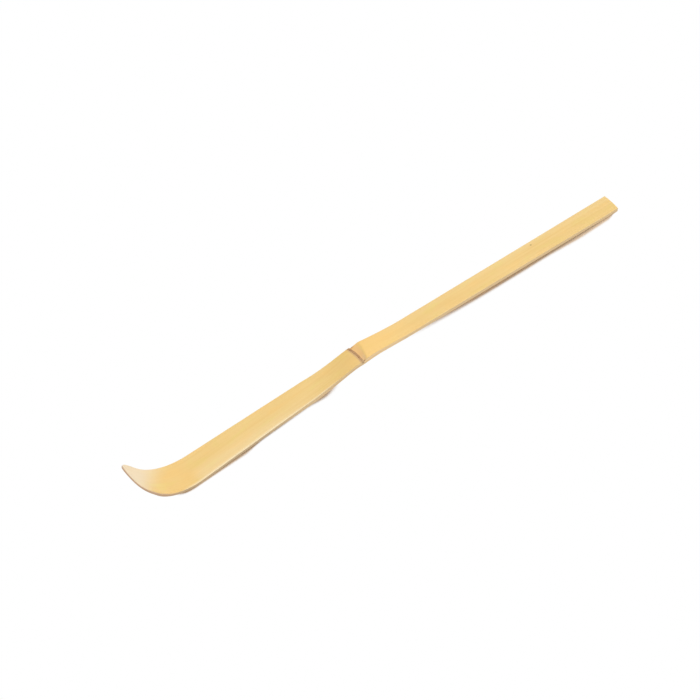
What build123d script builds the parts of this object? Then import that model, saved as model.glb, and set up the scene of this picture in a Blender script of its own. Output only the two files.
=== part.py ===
from build123d import *
import os
from math import atan, cos, degrees, radians, sin

# Driving dimensions, in millimetres and degrees

# Whole strip
overall_length = 179.2  # butt end to the outermost point of the tip
skin_thickness = 0.2  # hard outer skin of the culm, kept on the upper face
edge_bevel = 0.2  # upper long edges, as a share of the thickness
back_bevel = 0.13  # lower long edges, likewise

# Handle, straight and rising from its butt end to the node
handle_rise = 2.3
handle_thickness = 1.5
handle_crown = 0.2  # roundness of the culm across the strip
butt_width = 6.25
neck_width = 5.75
neck_from_scar = 19.4
planing_allowance = 0.1  # planed off to leave the handle's back flat

# Node, an arch with the sheath's scar and the stem ring across it
node_height = 6.2  # upper edges of the strip at the top of the arch
node_width = 6.65
node_thickness = 1.65
node_crown = 0.2
node_skin_thickness = 0.8  # the skin swells where the two rings grow
ring_foot_from_scar = 11.0
ring_foot_height = 5.6
ring_from_scar = 2.9
ring_swell = 0.42  # height of the stem ring over the lip beside the scar
ring_bow = 0.3  # towards the handle, over the node's width
ring_skew = -12.0  # the ring doesn't cross the strip quite squarely
ring_flare = 3  # power of the late widening from the neck to the ring
groove_depth = 0.5  # between the stem ring and the scar
groove_run = 2.0  # length of its slope up to the ring
scar_from_tip = 79.8
scar_width = 0.75
scar_recess = 0.05  # top of the scar below the upper edges of the arch
scar_bow = 0.25
scar_skew = 4.5
waist_from_scar = 7.3
waist_height = 5.08
waist_width = 6.5
septum_from_scar = 1.4
septum_width = 1.3
septum_height = 0.4

# Scoop, a straight trough, a bend and a rounded tip
scoop_fall = 3.6
scoop_run = 40.8
scoop_thickness = 2.0
belly_thickness = 1.3
bend_thickness = 0.75  # where the bend ends
trough_depth = 0.3
bend_radius = 18.5  # on the inside of the bend
tip_angle = 54.5
tip_run = 9.85
tip_round = 6.8  # length of the rounded end
tip_squareness = 2.8  # power of the rounded outline; 2 would be an ellipse
tip_thickness = 0.4
foot_width = 7.35
belly_width = 9.6
tip_width = 11.3

# Cutting room past the faces that a cutter has to clear
cutter_room = 1.0
cutter_reach = 40.0


def heading(angle):
    """Direction along the strip towards the tip, rising by an angle."""
    return Vector(-cos(radians(angle)), 0, sin(radians(angle)))


def square_to(angle):
    """Upward normal of the strip where it rises by an angle."""
    return Vector(sin(radians(angle)), 0, cos(radians(angle)))


def between(first, last, share):
    return first + (last - first) * share


def eased(first, last, share):
    """Like between, but level at both ends."""
    return between(first, last, share * share * (3 - 2 * share))


# Places along the upper face, seen from the side
butt_top = Vector(overall_length / 2, 0, handle_thickness * cos(radians(handle_rise)))
scar_x = scar_from_tip - overall_length / 2
handle_run = (butt_top.X - scar_x - neck_from_scar) / cos(radians(handle_rise))
neck = butt_top + heading(handle_rise) * handle_run
ring_foot = Vector(scar_x + ring_foot_from_scar, 0, ring_foot_height)
node_top = Vector(scar_x + scar_width / 2, 0, node_height)
waist = Vector(scar_x - waist_from_scar, 0, waist_height)

tip_x = tip_thickness * sin(radians(tip_angle)) - overall_length / 2
bend_offset = square_to(tip_angle) * bend_radius - heading(tip_angle) * tip_run
rest_thickness = between(
    belly_thickness, bend_thickness, scoop_fall / (scoop_fall + tip_angle)
)
bend_centre = Vector(tip_x + bend_offset.X, 0, bend_radius + rest_thickness)
bend_start = bend_centre - square_to(-scoop_fall) * bend_radius
bend_end = bend_centre - square_to(tip_angle) * bend_radius
foot = bend_start - heading(-scoop_fall) * scoop_run

# The node's arch, level at its top on both sides of the scar
ring_top = node_top + Vector(0, 0, ring_swell)
arch_rise = Spline(
    [neck, ring_foot, ring_top], tangents=[heading(handle_rise), heading(0)]
)
arch_fall = Spline(
    [node_top, waist, foot], tangents=[heading(0), heading(-scoop_fall)]
)


def station(point, angle, width, thickness, crown, skin, swell=0):
    """Place and sizes of one cross-section.

    In a trough the crown is negative; a swell thickens the skin, and the strip with it.
    """
    return dict(
        plane=Plane(origin=point, x_dir=(0, -1, 0), z_dir=heading(angle)),
        width=width,
        depth=thickness + swell,
        crown=crown,
        skin=skin + swell,
        bevel=edge_bevel * thickness,
        under=back_bevel * thickness,
    )


def arch_station(arch, share, *sizes):
    """A cross-section square to one side of the node's arch."""
    slope = arch % share
    return station(arch @ share, degrees(atan(-slope.Z / slope.X)), *sizes)


def strip_section(place, planing=0):
    """Whole cross-section: curved upper face, bevelled edges and a flat back."""
    half = place["width"] / 2
    bevel = place["bevel"]
    under = place["under"] + planing
    back = -place["depth"] - planing
    flat = half - bevel
    upper_face = Bezier((-flat, 0), (0, 2 * place["crown"]), (flat, 0))
    edges_and_back = Polyline(
        (flat, 0),
        (half, -bevel),
        (half, back + under),
        (half - under, back),
        (under - half, back),
        (-half, back + under),
        (-half, -bevel),
        (-flat, 0),
    )
    return place["plane"] * make_face([upper_face, edges_and_back])


def skin_section(place):
    """Everything above the seam between the skin and the wood."""
    half = place["width"] / 2
    flat = half - place["bevel"]
    wide = half + cutter_room
    middle = place["crown"] - place["skin"]
    side = place["crown"] * (1 - (wide / flat) ** 2) - place["skin"]
    seam = Bezier((-wide, side), (0, 2 * middle - side), (wide, side))
    above = Polyline((wide, side), (wide, cutter_room), (-wide, cutter_room), (-wide, side))
    return place["plane"] * make_face([seam, above])


def stretch(places, ruled=False, planing=0):
    """Skin and wood of one stretch of the strip, through its cross-sections."""
    strip = loft([strip_section(place, planing) for place in places], ruled=ruled)
    skin_zone = loft([skin_section(place) for place in places], ruled=ruled)
    return strip & skin_zone, strip - skin_zone


# Handle: straight between two sections, its back planed flat
butt_place = station(
    butt_top, handle_rise, butt_width, handle_thickness, handle_crown, skin_thickness
)
neck_place = station(
    neck, handle_rise, neck_width, handle_thickness, handle_crown, skin_thickness
)
handle_skin, handle_blank = stretch([butt_place, neck_place], True, planing_allowance)
handle_back = Plane(
    origin=butt_top - square_to(handle_rise) * handle_thickness,
    z_dir=square_to(handle_rise),
)
handle_wood = split(handle_blank, bisect_by=handle_back, keep=Keep.TOP)

# Node: its arch rises from the handle's neck and falls to the foot of the scoop
node_steps = 4
waist_pull = 2 * waist_width - (node_width + foot_width) / 2
rise_places = []
fall_places = []
for step in range(node_steps + 1):
    share = step / node_steps
    rise_places.append(
        arch_station(
            arch_rise,
            share,
            eased(neck_width, node_width, share**ring_flare),
            eased(handle_thickness, node_thickness, share),
            eased(handle_crown, node_crown, share),
            eased(skin_thickness, node_skin_thickness, share),
            eased(0, ring_swell, share),
        )
    )
    fall_places.append(
        arch_station(
            arch_fall,
            share,
            between(
                between(node_width, waist_pull, share),
                between(waist_pull, foot_width, share),
                share,
            ),
            eased(node_thickness, scoop_thickness, share),
            eased(node_crown, -trough_depth, share),
            eased(node_skin_thickness, skin_thickness, share),
        )
    )
rise_skin, rise_wood = stretch(rise_places)
fall_skin, fall_wood = stretch(fall_places)
node_skin = rise_skin + fall_skin
node_blank = rise_wood + fall_wood

# Scar and stem ring: lines across the node, each bowed and skewed a little


def bow_radius(bow):
    """Radius of a line that bows by so much over the node's width."""
    return (node_width / 2) ** 2 / (2 * bow) + bow / 2


def across(x, skew, radius):
    """Place of the centre of a bowed line that crosses the middle of the strip at x."""
    return Pos(x, 0, 0) * Rot(0, 0, skew) * Pos(-radius, 0, 0)


def handle_side(x):
    """All that lies on the handle's side of a line that runs like the scar."""
    radius = bow_radius(scar_bow)
    block = Box(
        radius + cutter_reach,
        cutter_reach,
        cutter_reach,
        align=(Align.MIN, Align.CENTER, Align.CENTER),
    )
    return across(x, scar_skew, radius) * (block - Cylinder(radius, cutter_reach))


past_lip = handle_side(scar_x)
past_scar = handle_side(scar_x + scar_width)
scar_lid = Pos(scar_x, 0, node_height - scar_recess) * Box(
    cutter_reach, cutter_reach, cutter_reach, align=(Align.CENTER, Align.CENTER, Align.MIN)
)

ring_radius = bow_radius(ring_bow)
crest = node_height + node_crown + ring_swell
groove_floor = node_height - groove_depth
groove_start = ring_radius - groove_run - ring_from_scar
groove_slope = groove_run / (crest - groove_floor)
groove_profile = Polyline(
    (groove_start, groove_floor),
    (ring_radius - groove_run, groove_floor),
    (ring_radius + groove_slope * cutter_room, crest + cutter_room),
    (groove_start, crest + cutter_room),
    close=True,
)
groove_face = (Plane.XZ * make_face(groove_profile)).rotate(Axis.Z, -90)
groove = across(scar_x + ring_from_scar, ring_skew, ring_radius) * revolve(
    groove_face, Axis.Z, 180
)

lip_skin = node_skin - past_lip
sheath_scar = (node_skin & past_lip) - past_scar - scar_lid
stem_ring = (node_skin & past_scar) - groove

# Septum: root of the wall that closed the culm, cut flush under the node
septum_top = node_height - node_thickness + septum_height
septum_box = Pos(scar_x + septum_from_scar, 0, septum_top) * Box(
    septum_width, cutter_reach, cutter_reach, align=(Align.CENTER, Align.CENTER, Align.MAX)
)
node_septum = node_blank & septum_box
node_wood = node_blank - septum_box

# Scoop: widths follow the strip's developed length
bend_length = bend_radius * radians(tip_angle + scoop_fall)
tip_straight = tip_run - tip_round
bend_width = between(belly_width, tip_width, bend_length / (bend_length + tip_straight))
bend_steps = 5
round_steps = 6
round_last = 88.0  # degrees of the quarter round; the rest is a blunt end
belly_place = station(
    bend_start, -scoop_fall, belly_width, belly_thickness, -trough_depth, skin_thickness
)
bend_places = []
for step in range(bend_steps + 1):
    bend_turn = between(-scoop_fall, tip_angle, step / bend_steps)
    bend_places.append(
        station(
            bend_centre - square_to(bend_turn) * bend_radius,
            bend_turn,
            between(belly_width, bend_width, step / bend_steps),
            between(belly_thickness, bend_thickness, step / bend_steps),
            -trough_depth,
            skin_thickness,
        )
    )
tip_places = [bend_places[-1]]
for step in range(round_steps + 1):
    round_turn = radians(round_last * step / round_steps)
    round_share = cos(round_turn) ** (2 / tip_squareness)
    tip_reach = tip_straight + tip_round * sin(round_turn) ** (2 / tip_squareness)
    tip_places.append(
        station(
            bend_end + heading(tip_angle) * tip_reach,
            tip_angle,
            tip_width * round_share,
            between(bend_thickness, tip_thickness, tip_reach / tip_run),
            -trough_depth * round_share**2,
            skin_thickness,
        )
    )
foot_place = station(
    foot, -scoop_fall, foot_width, scoop_thickness, -trough_depth, skin_thickness
)
shaft_skin, shaft_wood = stretch([foot_place, belly_place], True)
bend_skin, bend_wood = stretch(bend_places)
tip_skin, tip_wood = stretch(tip_places)
scoop_skin = lip_skin + shaft_skin + bend_skin + tip_skin
scoop_wood = shaft_wood + bend_wood + tip_wood

pieces = {
    "handle_wood": handle_wood,
    "handle_skin": handle_skin,
    "node_wood": node_wood,
    "node_septum": node_septum,
    "stem_ring": stem_ring,
    "sheath_scar": sheath_scar,
    "scoop_wood": scoop_wood,
    "scoop_skin": scoop_skin,
}
os.makedirs("parts", exist_ok=True)
for name, piece in pieces.items():
    export_step(piece, f"parts/{name}.step")
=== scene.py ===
import math
from dataclasses import dataclass
from typing import Callable

import bmesh
import bpy
import numpy as np
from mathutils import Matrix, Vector, noise


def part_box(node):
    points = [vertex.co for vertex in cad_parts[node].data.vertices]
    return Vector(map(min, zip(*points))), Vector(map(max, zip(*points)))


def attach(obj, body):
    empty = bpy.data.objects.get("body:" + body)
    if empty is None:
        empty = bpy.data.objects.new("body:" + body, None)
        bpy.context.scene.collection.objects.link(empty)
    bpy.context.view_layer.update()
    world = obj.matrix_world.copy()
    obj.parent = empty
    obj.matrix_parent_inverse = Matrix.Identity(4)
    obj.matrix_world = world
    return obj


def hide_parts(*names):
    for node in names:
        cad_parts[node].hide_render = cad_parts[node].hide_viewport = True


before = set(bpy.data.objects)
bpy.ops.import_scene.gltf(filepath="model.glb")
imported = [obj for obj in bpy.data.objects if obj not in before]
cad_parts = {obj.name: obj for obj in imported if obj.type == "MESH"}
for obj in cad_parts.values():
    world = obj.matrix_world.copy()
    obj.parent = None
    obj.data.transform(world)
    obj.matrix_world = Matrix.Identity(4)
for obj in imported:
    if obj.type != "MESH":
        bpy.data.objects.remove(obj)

bl_info = {
    "name": "Bamboo Tea Scoop",
    "version": (1, 0, 0),
    "blender": (4, 5, 0),
    "location": "3D View > Sidebar > Tea Scoop",
    "description": "Builds a bamboo tea scoop from its skin, wood, ring, scar and septum, and sets its stage",
    "category": "Add Mesh",
}

MM = 0.001

# Values on the meshes: place in the grain, part of the rounded edge, and distance from the side
GRAIN = "grain"
RIM = "rim"
EDGE = "edge"


# Settings


def length(name, millimetres, description):
    """A size in the scene's metres, written in millimetres."""
    return bpy.props.FloatProperty(
        name=name, description=description, default=millimetres * MM, precision=5, unit="LENGTH"
    )


def angle(name, degrees, description):
    return bpy.props.FloatProperty(
        name=name, description=description, default=math.radians(degrees), unit="ROTATION"
    )


def share(name, value, description):
    """A part from 0 to 1."""
    return bpy.props.FloatProperty(
        name=name, description=description, default=value, min=0, max=1, subtype="FACTOR"
    )


def level(name, value, description):
    """A bare number from 0 up."""
    return bpy.props.FloatProperty(name=name, description=description, default=value, min=0)


def linear(value):
    """Light of a screen colour's channel, which is written from 0 to 255."""
    part = value / 255
    if part <= 0.04045:
        return part / 12.92
    return ((part + 0.055) / 1.055) ** 2.4


def colour(name, red, green, blue, description):
    return bpy.props.FloatVectorProperty(
        name=name,
        description=description,
        default=(linear(red), linear(green), linear(blue)),
        min=0,
        max=1,
        size=3,
        subtype="COLOR",
    )


def group(kind, name, description):
    return bpy.props.PointerProperty(type=kind, name=name, description=description)


class StripSizes(bpy.types.PropertyGroup):
    skin: length("Skin", 0.2, "Thickness of the hard skin on the upper face")
    edge_bevel: share("Upper edges", 0.1, "Rounding of the upper edges, as a share of the thickness")
    back_bevel: share("Lower edges", 0.13, "Rounding of the lower edges, as a share of the thickness")
    butt_round: length("Butt edges", 0.12, "Rounding of the edges of the square cut")
    hand_cut: length("Hand cut", 0.05, "How far the knife left the long edges uneven")


class HandleSizes(bpy.types.PropertyGroup):
    rise: angle("Rise", 2.3, "Slope of the handle, from its butt up to the node")
    thickness: length("Thickness", 1.5, "Thickness of the handle")
    crown: length("Crown", 0.2, "Roundness of the handle's upper face")
    butt_width: length("Butt width", 6.25, "Width at the butt")
    neck_width: length("Neck width", 5.75, "Width just before the node")
    neck: length("Neck", 19.4, "Distance from the scar to the neck")


class NodeSizes(bpy.types.PropertyGroup):
    height: length("Height", 6.2, "Height of the lip beside the scar")
    width: length("Width", 6.65, "Width of the node")
    thickness: length("Thickness", 1.65, "Thickness of the strip at the node")
    crown: length("Crown", 0.2, "Roundness of the node's upper face")
    skin: length("Skin", 0.8, "Thickness of the skin at the node")
    foot: length("Ring foot", 11.0, "Distance from the scar to the foot of the ring's rise")
    foot_height: length("Ring foot height", 5.6, "Height of the foot of the ring's rise")
    ring: length("Ring", 2.9, "Distance from the scar to the crest of the ring")
    ring_swell: length("Ring swell", 0.42, "Height of the ring over the lip")
    ring_bow: length("Ring bow", 0.3, "Bow of the ring across the strip")
    ring_skew: angle("Ring skew", -12, "Slant of the ring across the strip")
    ring_flare: level("Ring flare", 3, "Power of the late widening from the neck to the ring")
    ring_round: length("Ring rounding", 0.35, "Rounding of the crest on the handle's side")
    groove_depth: length("Groove depth", 0.5, "Depth of the groove below the lip")
    groove_run: length("Groove run", 2.0, "Length of the groove's slope")
    scar: length("Scar", 79.8, "Distance from the tip to the scar")
    scar_width: length("Scar width", 0.75, "Width of the scar")
    scar_recess: length("Scar recess", 0.05, "Depth of the scar's top below the lip")
    scar_bow: length("Scar bow", 0.25, "Bow of the scar across the strip")
    scar_skew: angle("Scar skew", 4.5, "Slant of the scar across the strip")
    scar_fray: length("Scar fray", 0.08, "How ragged the fibres of the scar are")
    lip_round: length("Lip rounding", 0.14, "Rounding of the edges beside the scar")
    waist: length("Waist", 7.3, "Distance from the scar to the waist")
    waist_height: length("Waist height", 5.08, "Height of the upper face at the waist")
    waist_width: length("Waist width", 6.5, "Width at the waist")
    septum: length("Septum", 1.4, "Distance from the scar to the middle of the septum")
    septum_width: length("Septum width", 1.3, "Width of the septum's trimmed root")
    septum_depth: length("Septum depth", 0.35, "How far the septum reaches up into the wood")
    septum_swell: length("Septum swell", 0.04, "How far the septum's root stands out of the back")


class ScoopSizes(bpy.types.PropertyGroup):
    fall: angle("Fall", 3.6, "Slope of the trough, from the node down to the bend")
    run: length("Run", 40.8, "Length of the straight trough")
    thickness: length("Thickness", 2.0, "Thickness at the foot of the node")
    belly_thickness: length("Belly thickness", 1.3, "Thickness where the bend starts")
    bend_thickness: length("Bend thickness", 0.75, "Thickness where the bend ends")
    back_round: share("Back rounding", 0.3, "Further rounding of the lower edges under the trough")
    trough: length("Trough", 0.3, "Depth of the hollow across the scoop")
    bend_radius: length("Bend radius", 18.5, "Radius on the inside of the bend")
    tip_angle: angle("Tip angle", 54.5, "Slope of the tip")
    tip_run: length("Tip run", 9.85, "Length of the tip beyond the bend")
    tip_round: length("Tip round", 6.8, "Length of the rounded end")
    squareness: level("Squareness", 2.8, "Power of the rounded outline, where 2 is an ellipse")
    tip_thickness: length("Tip thickness", 0.4, "Thickness at the very end")
    foot_width: length("Foot width", 7.35, "Width at the foot of the node")
    belly_width: length("Belly width", 9.6, "Width where the bend starts")
    tip_width: length("Tip width", 11.3, "Greatest width of the tip")


class BambooColours(bpy.types.PropertyGroup):
    skin: colour("Skin", 244, 208, 134, "Upper face")
    skin_deep: colour("Deep skin", 235, 192, 111, "Darker fibres and clouds of the upper face")
    skin_warm: colour("Warm skin", 252, 206, 122, "Upper face beside the ring")
    skin_fresh: colour("Fresh skin", 240, 212, 126, "Patches that kept a trace of green")
    # Pale tip: partly paler worn skin, partly a painted sheen
    skin_pale_and_sheen: colour("Pale skin", 244, 229, 204, "Inside of the tip")
    # Pale upper edges, partly worn and partly a painted highlight; also the painted light on the lighter
    # halves of the skin
    skin_edge_and_highlight: colour("Edges", 255, 234, 190, "Upper edges without their gloss, and the lighter halves")
    groove: colour("Groove", 249, 203, 136, "Slope between the ring and the scar")
    speck: colour("Speck", 138, 118, 58, "Dark speck on the handle")
    wood: colour("Wood", 240, 208, 158, "Sides and back")
    wood_deep: colour("Deep wood", 206, 164, 112, "Fibre bundles of the sides and back")
    # Painted shade on the sides of the scoop
    shaded_wood: colour("Dull wood", 204, 177, 138, "Sides of the scoop, dulled by tea")
    # Painted shade along the rim of the tip
    rim_shade_wood: colour("Heated wood", 208, 172, 138, "Rim of the tip, browned when it was bent")
    ring_side: colour("Ring side", 255, 219, 164, "Sides beside the ring, where the skin is thick")
    scar: colour("Scar", 205, 165, 121, "Scar and septum, and the pores of the wood")
    scar_deep: colour("Deep scar", 159, 116, 78, "Shadowed fibres of the scar and septum")


class BambooFinish(bpy.types.PropertyGroup):
    fibres: share("Fibres", 0.32, "How much fine fibres darken the skin")
    strands: share("Strands", 0.25, "How much broader strands darken the skin")
    clouds: share("Clouds", 0.2, "How much soft clouds darken the skin")
    fresh: share("Fresh patches", 0.6, "How much green is left in patches of the skin")
    warm: share("Warm patches", 0.35, "How warm the skin is between those patches")
    flecks: share("Flecks", 0.5, "How dark the fine flecks of the skin are")
    speck: share("Speck", 0.7, "How dark the speck on the handle is")
    ring: share("Rise", 0.7, "How warm the skin turns on its rise to the ring")
    groove: share("Groove", 0.9, "How much the groove differs from the skin")
    # Painted light at the near end of the groove
    lit_groove_end: share("Groove end", 0.35, "How light the near end of the groove is")
    # Painted shade beside the lip
    lip: share("Lip", 0.4, "How dark the skin is beside the lip")
    # Darkens the margin beside the scar
    scar_margin: share("Stain", 0.75, "How much the scar stains its edges")
    bend: share("Bend", 0.35, "How dark the skin is in the bend")
    # Pale tip: partly paler worn skin, partly a painted sheen
    tip: share("Tip", 0.62, "How pale the tip is")
    # Painted light: the far half of the handle is lighter
    lit_far_half: share("Far half", 0.12, "How light the far half of the handle is")
    # Painted light on the near half and the near rim of the trough
    lit_near_half: share("Near half", 0.3, "How light the near half of the trough is")
    lit_near_rim: share("Near rim", 0.6, "How light the near rim of the trough is")
    # Less of the pale edge and its painted highlight at the node
    plain_node_edge: share("Kept edges", 0.8, "How much of the edges' gloss is left at the node")
    # The handle's share of the pale edges and their painted highlight
    handle_edge: share("Handle edges", 0.3, "How worn the handle's edges are, compared with the scoop's")
    # Painted shade on the face along the rim of the tip
    face_rim_shade: share("Browned rim", 0.8, "How brown the face is along the rim of the tip")
    skin_roughness: share("Skin roughness", 0.36, "Roughness of the skin")
    skin_fibre_roughness: share("Fibre roughness", 0.12, "Roughness that the fibres add to the skin's")
    groove_roughness: share("Groove roughness", 0.2, "Roughness that the groove adds to the skin's")
    skin_relief: length("Skin relief", 0.02, "Height of the fibres on the skin")
    skin_relief_strength: share("Skin relief strength", 0.35, "How much of that height is shown")
    skin_specular: share("Skin gloss", 0.4, "Reflection of the skin")
    skin_coat: share("Skin coat", 0.12, "Weight of the skin's natural wax")
    skin_coat_roughness: share("Coat roughness", 0.3, "Roughness of the wax")
    bundles: share("Bundles", 0.6, "How much bundles darken the wood")
    wood_fibres: share("Wood fibres", 0.35, "How much fibres darken the wood")
    pores: share("Pores", 0.35, "How dark the pores of the wood are")
    wood_ring: share("Wood at the ring", 0.7, "How warm the wood is beside the ring")
    # Painted shade on the sides of the scoop's wood
    shaded_wood: share("Wood of the scoop", 0.8, "How dull the sides of the scoop's wood are")
    wood_roughness: share("Wood roughness", 0.55, "Roughness of the wood")
    wood_fibre_roughness: share("Wood fibre roughness", 0.15, "Roughness that fibres add to the wood's")
    wood_relief: length("Wood relief", 0.03, "Height of the fibres on the wood")
    wood_relief_strength: share("Wood relief strength", 0.45, "How much of that height is shown")
    wood_specular: share("Wood gloss", 0.35, "Reflection of the wood")
    torn: share("Torn fibres", 0.7, "How much torn fibres darken the scar")
    scar_clouds: share("Scar clouds", 0.3, "How much soft clouds darken the scar")
    scar_near: share("Scar end", 0.6, "How dull the near end of the scar is")
    scar_roughness: share("Scar roughness", 0.75, "Roughness of the scar")
    scar_fibre_roughness: share("Scar fibre roughness", 0.2, "Roughness that torn fibres add to the scar's")
    scar_relief: length("Scar relief", 0.05, "Height of the torn fibres")
    scar_relief_strength: share("Scar relief strength", 0.6, "How much of that height is shown")
    scar_specular: share("Scar gloss", 0.2, "Reflection of the scar")


class StageSettings(bpy.types.PropertyGroup):
    azimuth: angle("Azimuth", -38.42, "Direction of the camera round the scoop")
    elevation: angle("Elevation", 52.93, "Height of the camera over the table")
    distance: length("Distance", 802.6, "From the camera to the point it looks at")
    aim: bpy.props.FloatVectorProperty(
        name="Aim",
        description="Point the camera looks at",
        default=(-6.77 * MM, 6.25 * MM, -0.31 * MM),
        precision=5,
        size=3,
        subtype="TRANSLATION",
    )
    lens: bpy.props.FloatProperty(
        name="Lens", description="Focal length in millimetres", default=141.3, min=1, unit="CAMERA"
    )
    window: level("Window", 0.5, "Strength of the light from beyond the butt")
    window_azimuth: angle("Window azimuth", 110, "Direction of the window round the scoop")
    window_elevation: angle("Window elevation", 40, "Height of the window")
    lamp: level("Lamp", 0.8, "Strength of the light from above")
    lamp_azimuth: angle("Lamp azimuth", 60, "Direction of the lamp round the scoop")
    lamp_elevation: angle("Lamp elevation", 75, "Height of the lamp")
    softness: angle("Softness", 60, "Spread of the window and of the lamp")
    room: level("Room", 0.64, "Strength of the light from all round")
    table: level("Table", 0.85, "Light that the table throws back")
    contact: colour("Contact", 230, 208, 182, "Table close under the scoop, in its shade")
    contact_reach: length("Contact reach", 4.0, "How far from a spot of table the scoop still shades it")
    contact_full: share("Full contact", 0.5, "Open sky over a spot of table that lies in full shade")
    contact_none: share("No contact", 0.66, "Open sky over a spot of table that lies in no shade")
    contact_fade: length("Contact fade", 8.0, "Length over which a lit or shaded stretch comes in")
    bend_lit: length("Bend lit", -75.0, "From here to the tip the table under the bend is open to the light")
    bend_light: share("Bend light", 0.3, "Light added under the bend")
    gap_lit_from: length("Gap lit from", -46.0, "Tip end of the lit gap under the foot of the scoop")
    gap_lit_to: length("Gap lit to", -30.0, "Node end of the lit gap under the foot of the scoop")
    gap_light: share("Gap light", 0.22, "Light added in that gap")
    butt_shade: length("Butt shade", 76.0, "Here the shade on the near side of the handle is broadest")
    butt_shade_width: length("Butt shade width", 3.0, "From the middle line to where that shade is full")
    butt_depth: share("Butt depth", 0.14, "Light taken away in that shade")
    butt_lit: length("Butt lit", 89.0, "From here to the end the table under the butt is open to the light")
    butt_light: share("Butt light", 0.5, "Light added under the butt")
    table_size: length("Table size", 4000, "Width of the table")


class TeaScoopSettings(bpy.types.PropertyGroup):
    strip: group(StripSizes, "Strip", "Sizes of the whole strip")
    handle: group(HandleSizes, "Handle", "Sizes of the handle")
    node: group(NodeSizes, "Node", "Sizes of the node")
    scoop: group(ScoopSizes, "Scoop", "Sizes of the scoop")
    colours: group(BambooColours, "Colours", "Colours of the bamboo")
    finish: group(BambooFinish, "Finish", "Strength of the tones, gloss and relief of the bamboo")
    stage: group(StageSettings, "Stage", "Camera, light and table")


# Shape of the strip


def between(first, last, part):
    return first + (last - first) * part


def smooth(part):
    part = min(max(part, 0.0), 1.0)
    return part * part * (3 - 2 * part)


def eased(first, last, part):
    """Like between, but level at both ends."""
    return between(first, last, smooth(part))


class Arch:
    """Smooth upper line through three points, with a given slope at both ends."""

    def __init__(self, points, first_slope, last_slope):
        self.along = [point[0] for point in points]
        self.height = [point[1] for point in points]
        runs = np.diff(self.along)
        climbs = np.diff(self.height)
        pull = 3 * (climbs / runs**2).sum() - first_slope / runs[0] - last_slope / runs[1]
        self.slope = [first_slope, pull / (2 * (1 / runs).sum()), last_slope]

    def at(self, along):
        """Height and slope; the line goes on straight past its ends."""
        if along <= self.along[0]:
            return self.height[0] + self.slope[0] * (along - self.along[0]), self.slope[0]
        if along >= self.along[2]:
            return self.height[2] + self.slope[2] * (along - self.along[2]), self.slope[2]
        first = 0 if along < self.along[1] else 1
        run = self.along[first + 1] - self.along[first]
        part = (along - self.along[first]) / run
        climb = self.height[first + 1] - self.height[first]
        start = self.slope[first] * run
        stop = self.slope[first + 1] * run
        square = 3 * climb - 2 * start - stop
        cube = start + stop - 2 * climb
        height = self.height[first] + part * (start + part * (square + part * cube))
        slope = (start + part * (2 * square + 3 * part * cube)) / run
        return height, slope


@dataclass
class Station:
    """One cross-section of the strip, square to its upper line.

    crown is the rise of the upper face in its middle, or its hollow where it is below 0. drop is
    how far that face is lowered. Round the tip, side is the share of the half width that is left,
    and forward is the share of the reach that the section lies past its place.
    """

    line: Callable
    along: float
    half: float
    depth: float
    crown: float
    skin: float
    bevel: float
    under: float
    drop: float = 0.0
    side: float = 1.0
    forward: float = 0.0
    reach: float = 0.0


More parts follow.
